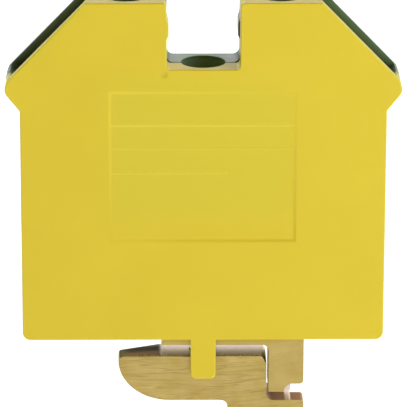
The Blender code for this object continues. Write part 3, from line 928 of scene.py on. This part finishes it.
# ---------------------------------------------------------------- brass
def jaw(look):
    outline = rounded(
        [
            (JAW_LEFT, JAW_BAR_LOW, 0.2),
            (JAW_INNER, JAW_BAR_LOW, 0.8),
            (JAW_INNER, LUG_LOW, 0.2),
            (LUG_RIGHT, LUG_LOW, 0.0),
            (LUG_RIGHT, JAW_LOW, 0.0),
            (JAW_RIGHT, JAW_LOW, 0.5),
            (JAW_RIGHT, FLANGE_LOW, 0.0),
            (JAW_RIGHT + FLANGE, FLANGE_LOW, 0.0),
            (JAW_RIGHT + FLANGE, JAW_BAR_TOP, 0.2),
            (JAW_LEFT - FLANGE, JAW_BAR_TOP, 0.2),
            (JAW_LEFT - FLANGE, FLANGE_LOW, 0.0),
            (JAW_LEFT, FLANGE_LOW, 0.0),
        ]
    )
    edges = (JAW_EDGE, JAW_EDGE)
    piece = plate("rail_contact_jaw_body", outline, -JAW_HALF_Y, JAW_HALF_Y, *edges)
    past = 0.5
    rings = []
    for z, size in ((LUG_LOW, LUG_CHAMFER + 0.2), (JAW_LOW - 0.5, LUG_CHAMFER), (JAW_LOW, 0.2)):
        left, right, front = LUG_RIGHT - size - past, LUG_RIGHT + past, -JAW_HALF_Y - past
        rings.append([(left, front, z), (right, front, z), (right, front + size + 2 * past, z)])
    chamfer = loft("lug chamfer", rings)
    cut(piece, drill(HOLE_R, JAW_BAR_LOW - 1, JAW_BAR_TOP + 1), chamfer)
    finish_piece(piece, "housing", "brass", look, "rail_contact_jaw")


def nose_arc(steps=24):
    """The hook's nose: a quarter of an ellipse from the tip down to the arm's underside."""
    wide = 6.8
    start_z = FOOT_ARM_TOP - 0.6
    tall = start_z - FOOT_ARM_LOW
    points = []
    for step in range(steps + 1):
        angle = math.pi / 2 * step / steps
        x = FOOT_TIP + wide * (1 - math.cos(angle))
        points.append((x, start_z - tall * math.sin(angle), 0.0))
    return points


def front_corner(steps=8):
    """What the file took off the hook's top left corner, along its front edge only."""
    radius, deep, past = 0.85, 1.4, 0.3
    rings = []
    for y, share in ((-FOOT_HALF_Y - 0.5, 1.0), (-FOOT_HALF_Y, 1.0), (-FOOT_HALF_Y + deep, 0.06)):
        reach = radius * share
        left, right = FOOT_TIP - past, FOOT_TIP + reach
        ring = [(left, y, FOOT_ARM_TOP + past), (right, y, FOOT_ARM_TOP + past)]
        for step in range(steps + 1):
            angle = math.pi / 2 * step / steps
            x = FOOT_TIP + reach * (1 - math.sin(angle))
            ring.append((x, y, FOOT_ARM_TOP - reach * (1 - math.cos(angle))))
        ring.append((left, y, FOOT_ARM_TOP - reach))
        rings.append(ring)
    return loft("front corner", rings)


def burr(x0, x1, seed):
    """The ragged lip that the saw left along the foot's front top edge."""
    chance = random.Random(seed)
    spacing = 0.14
    rings = []
    steps = int((x1 - x0) / spacing)
    for step in range(steps + 1):
        x = x0 + (x1 - x0) * step / steps
        size = 0.05 + 0.24 * chance.random() ** 3
        if step in (0, steps):
            size = 0.02
        y = 0.03 - FOOT_HALF_Y + size
        z = FOOT_ARM_TOP - 0.03 + 0.2 * size
        ring = []
        for side in range(6):
            angle = math.tau * side / 6
            ring.append((x, y + size * math.cos(angle), z + 0.8 * size * math.sin(angle)))
        rings.append(ring)
    return loft("burr", rings)


def foot(look):
    outline = rounded(
        [(FOOT_TIP, FOOT_ARM_TOP, 0.4)]
        + nose_arc()
        + [
            (FOOT_HEEL_LEFT, FOOT_ARM_LOW, 1.0),
            (FOOT_HEEL_LEFT, FOOT_LOW, 0.8),
            (FOOT_RIGHT, FOOT_LOW, 1.2),
            (FOOT_RIGHT, FOOT_ARM_LOW, 0.5),
            (FOOT_ARM_END, FOOT_ARM_LOW, 0.8),
            (FOOT_ARM_END, FOOT_ARM_TOP - FOOT_CHAMFER_Z, 0.0),
            (FOOT_ARM_END - FOOT_CHAMFER_X, FOOT_ARM_TOP, 0.0),
        ]
    )
    piece = plate("rail_foot_body", outline, -FOOT_HALF_Y, FOOT_HALF_Y, FOOT_EDGE, FOOT_EDGE)
    hole = drill(THREAD_R + THREAD_PLAY, FOOT_ARM_LOW - 2, FOOT_ARM_TOP + 2)
    past = 1.3
    tip_x = HOOK_THIN_X + (FOOT_TIP - HOOK_THIN_X) * past
    tip_y = HOOK_THIN_Y + (HOOK_TIP_Y - HOOK_THIN_Y) * past
    back = FOOT_HALF_Y + 1
    relief = [(HOOK_THIN_X, HOOK_THIN_Y), (HOOK_THIN_X, back), (tip_x, back), (tip_x, tip_y)]
    rings = [[(x, y, z) for x, y in relief] for z in (FOOT_ARM_LOW - 1, FOOT_ARM_TOP + 1)]
    ends = (LUG_RIGHT, FOOT_RIGHT + 1, FOOT_LOW - 1, FOOT_ARM_LOW + 1)
    heel = block("heel relief", *ends, HEEL_THIN_Y, FOOT_HALF_Y + 1)
    cut(piece, hole, loft("hook relief", rings), heel, front_corner())
    burr_in = 2.2  # the tongue hides what lies nearer to the middle
    left_burr = burr(FOOT_TIP + 2.0, -burr_in, 3)
    add(piece, left_burr, burr(burr_in, FOOT_ARM_END - FOOT_CHAMFER_X, 8))
    finish_piece(piece, "rail_foot", "brass", look, "rail_foot")


# ---------------------------------------------------------------- inner metal parts
def current_bar(look):
    leg_in = BAR_LEG_OUT - BAR_T
    arm_low = BAR_ARM_TOP - BAR_T
    base_low = BAR_BASE_TOP - BAR_T
    inner = BAR_BEND - BAR_T
    right = [
        (BAR_LEG_OUT, base_low, BAR_BEND),
        (BAR_LEG_OUT, arm_low, inner),
        (BAR_END_X, arm_low, 0.0),
        (BAR_END_X, BAR_ARM_TOP, 0.3),
        (leg_in, BAR_ARM_TOP, BAR_BEND),
        (leg_in, BAR_BASE_TOP, inner),
    ]
    left = [(-x, z, radius) for x, z, radius in reversed(right)]
    ends = (-BAR_HALF_Y, BAR_HALF_Y, STRIP_EDGE, STRIP_EDGE)
    bar = plate("current_bar_body", rounded(right + left), *ends)
    cutters = [drill(HOLE_R, base_low - 1, BAR_BASE_TOP + 1)]
    past_x, past_y = BAR_END_X + 1, BAR_HALF_Y + 1
    for x0, x1 in ((-past_x, -BAR_ARM_START), (BAR_ARM_START, past_x)):
        for y0, y1 in ((-past_y, -BAR_ARM_HALF_Y), (BAR_ARM_HALF_Y, past_y)):
            cutters.append(block("notch", x0, x1, arm_low - 1, BAR_ARM_TOP + 1, y0, y1))
    cut(bar, *cutters)
    finish_piece(bar, "housing", "tinned_copper", look, "current_bar")


def threaded_shank(x, tip, top):
    """A right-hand thread along the shank, with a chamfered tip, as one closed tube of rings."""
    sides = 32
    per_turn = 8
    count = max(2, round((top - tip) / PITCH * per_turn))
    rings = []
    for row in range(count + 1):
        z = tip + (top - tip) * row / count
        ring = []
        for step in range(sides):
            turn = step / sides
            phase = (z / PITCH - turn) % 1.0
            crest = 1 - abs(2 * phase - 1)
            radius = CORE_R + (THREAD_R - CORE_R) * min(1.0, 1.15 * crest)
            radius = min(radius, CORE_R - 0.25 + (z - tip))
            angle = math.tau * turn
            ring.append((x + radius * math.cos(angle), radius * math.sin(angle), z))
        rings.append(ring)
    return loft("shank", rings)


def slotted_head(name, x, low, steps=4):
    edge = 0.3
    profile = [(HEAD_R - 0.1, low), (HEAD_R, low + 0.1)]
    for step in range(steps + 1):
        angle = math.pi / 2 * step / steps
        radius = HEAD_R - edge + edge * math.cos(angle)
        profile.append((radius, low + HEAD_H - edge + edge * math.sin(angle)))
    head = turned(name, profile, x)
    top = low + HEAD_H
    slot = block("slot", x - 5, x + 5, top - SLOT_DEPTH, top + 1, -SLOT_W / 2, SLOT_W / 2)
    cut(head, slot)
    return head


def screw(node_name, x, tip, head_low, look):
    piece = slotted_head(node_name + "_body", x, head_low)
    add(piece, threaded_shank(x, tip, head_low + 0.2))
    finish_piece(piece, node_name, "zinc_steel", look, node_name)


def washer(look):
    """A split spring washer: a square section swept round with its ends sprung slightly apart."""
    low, high = BAR_BASE_TOP + GAP, RAIL_HEAD_LOW - GAP
    inner, outer = 1.85, 2.75
    lift = 0.1
    steps = 56
    rings = []
    for step in range(steps + 1):
        share = step / steps
        angle = math.radians(6) + math.radians(348) * share
        z0 = low + lift * share
        z1 = high - lift * (1 - share)
        ring = []
        for radius, z in ((inner, z0), (outer, z0), (outer, z1), (inner, z1)):
            ring.append((radius * math.cos(angle), radius * math.sin(angle), z))
        rings.append(ring)
    piece = loft("rail_screw_washer_body", rings)
    soften(piece, 0.05)
    finish_piece(piece, "housing", "zinc_steel", look, "rail_screw_washer")


def yoke(side_name, x, look):
    """The clamping cage: a thick strip bent to a loop whose ends lap in the threaded head."""
    low = YOKE_JAW_TOP - YOKE_JAW_T
    section = rounded(
        [
            (-YOKE_HALF_Y, low, 0.8),
            (YOKE_HALF_Y, low, 0.8),
            (YOKE_HALF_Y, YOKE_HEAD_TOP, 0.8),
            (-YOKE_HALF_Y, YOKE_HEAD_TOP, 0.8),
        ]
    )
    near, far = edge_steps(x - YOKE_HALF_X, x + YOKE_HALF_X, STRIP_EDGE, STRIP_EDGE, 3)
    rings = []
    for place, pull in near + far:
        rings.append([(place, point.x, point.y) for point in inset(section, pull)])
    piece = loft(side_name + "_clamp_yoke_body", rings)
    half = YOKE_HALF_Y - YOKE_SIDE
    cutters = [block("window", x - 5, x + 5, YOKE_JAW_TOP, YOKE_HEAD_LOW, -half, half)]
    cutters.append(drill(THREAD_R + THREAD_PLAY, YOKE_HEAD_LOW - 1, YOKE_HEAD_TOP + 1, x))
    size, spacing, top = 0.22, 1.3, YOKE_JAW_TOP + HAIR
    for row in range(4):
        at = x + (row - 1.5) * spacing
        groove = [(at - size, top), (at, YOKE_JAW_TOP - size), (at + size, top)]
        cutters.append(plate("groove", [Vector(corner) for corner in groove], -half, half))
    lap = (YOKE_HEAD_LOW + YOKE_HEAD_TOP) / 2
    cutters.append(block("lap", x - 5, x + 5, lap - 0.04, lap + 0.04, half - 1.2, 4))
    cut(piece, *cutters)
    body = side_name + "_clamp_yoke"
    finish_piece(piece, body, "zinc_steel", look, body)


# ---------------------------------------------------------------- stage
def aim(target, azimuth, elevation, roll, distance):
    """The matrix of a camera or light that looks at the target; azimuth 0 looks along +Y."""
    az, el = math.radians(azimuth), math.radians(elevation)
    forward = Vector((math.sin(az) * math.cos(el), math.cos(az) * math.cos(el), -math.sin(el)))
    right = Vector((math.cos(az), -math.sin(az), 0.0))
    up = right.cross(forward)
    turn = Matrix((right, up, -forward)).transposed()
    turn = turn @ Matrix.Rotation(math.radians(roll), 3, "Z")
    return Matrix.Translation(target - forward * distance) @ turn.to_4x4()


def camera():
    data = bpy.data.cameras.new("camera")
    data.sensor_width = 36.0
    data.lens = CAMERA_LENS
    data.clip_start = 0.01
    data.clip_end = 20.0
    made = link("camera", data)
    made.matrix_world = aim(mm(*CAMERA_TARGET), *CAMERA_TURN, CAMERA_DISTANCE)
    bpy.context.scene.camera = made


def key_light():
    data = bpy.data.lights.new("key", "AREA")
    data.size = KEY_SIZE
    data.energy = KEY_POWER
    made = link("key", data)
    made.matrix_world = aim(mm(*KEY_TARGET), *KEY_TURN, 0.0, KEY_DISTANCE)


def sheet(name, points, half, glow):
    """A stage sheet through (y, z) points in metres, half as wide as given, that glows a little."""
    mesh = bpy.data.meshes.new(name)
    shape = bmesh.new()
    rows = [[shape.verts.new((x, y, z)) for x in (-half, half)] for y, z in points]
    for low, high in zip(rows, rows[1:]):
        shape.faces.new((low[0], low[1], high[1], high[0]))
    shape.to_mesh(mesh)
    shape.free()
    made = link(name, mesh)
    look, _, shader = new_material(name)
    shader.inputs["Base Color"].default_value = (0.9, 0.9, 0.9, 1.0)
    shader.inputs["Roughness"].default_value = 0.9
    shader.inputs["Specular IOR Level"].default_value = 0.2
    shader.inputs["Emission Color"].default_value = (1.0, 1.0, 1.0, 1.0)
    shader.inputs["Emission Strength"].default_value = glow
    mesh.materials.append(look)
    mesh.shade_smooth()


def stage():
    """A pale floor, and behind it a dim low wall and a bright one that the upward faces mirror."""
    sheet("floor", [(-1.5, 0.0), (0.5, 0.0)], 2.0, FLOOR_GLOW)
    sheet("skirting", [(0.5, 0.0), (0.9, 0.0), (0.9, 0.2)], 2.0, SKIRTING_GLOW)
    sheet("backdrop", [(0.9, 0.2), (0.9, 0.8)], 2.0, BACKDROP_GLOW)


def studio():
    """A key light at the right front, in a world that brightens towards the right rear."""
    world = bpy.data.worlds.new("studio")
    world.use_nodes = True
    tree = world.node_tree
    right, behind, _ = parts(tree, "Generated")
    way = plus(tree, times(tree, right, WORLD_WAY[0]), times(tree, behind, WORLD_WAY[1]))
    glow = ramp(tree, way, -1.0, 1.0, *WORLD_GLOW)
    tree.links.new(glow, tree.nodes["Background"].inputs["Color"])
    bpy.context.scene.world = world
    bpy.context.scene.view_settings.view_transform = "Standard"
    key_light()


def main():
    yellow = moulded_plastic("yellow plastic", YELLOW, 0.42, 0.35, yellow_details)
    green = moulded_plastic("green plastic", GREEN, 0.38, 0.6, green_details)
    brass = sawn_brass("sawn brass", 1.0, True)
    pressed = sawn_brass("pressed brass", 0.35, False)
    tin = plated("tinned copper", TIN, 0.3)
    zinc = plated("zinc", ZINC, 0.32)

    front_shell(yellow)
    rear_shell(green)
    jaw(pressed)
    foot(brass)
    current_bar(tin)
    washer(zinc)
    screw("rail_screw", 0.0, RAIL_TIP, RAIL_HEAD_LOW, zinc)
    for side, x in (("left", -TOWER_X), ("right", TOWER_X)):
        yoke(side, x, zinc)
        screw(side + "_clamp_screw", x, BAR_ARM_TOP + GAP, CLAMP_HEAD_LOW, zinc)
    stage()
    studio()
    camera()


main()
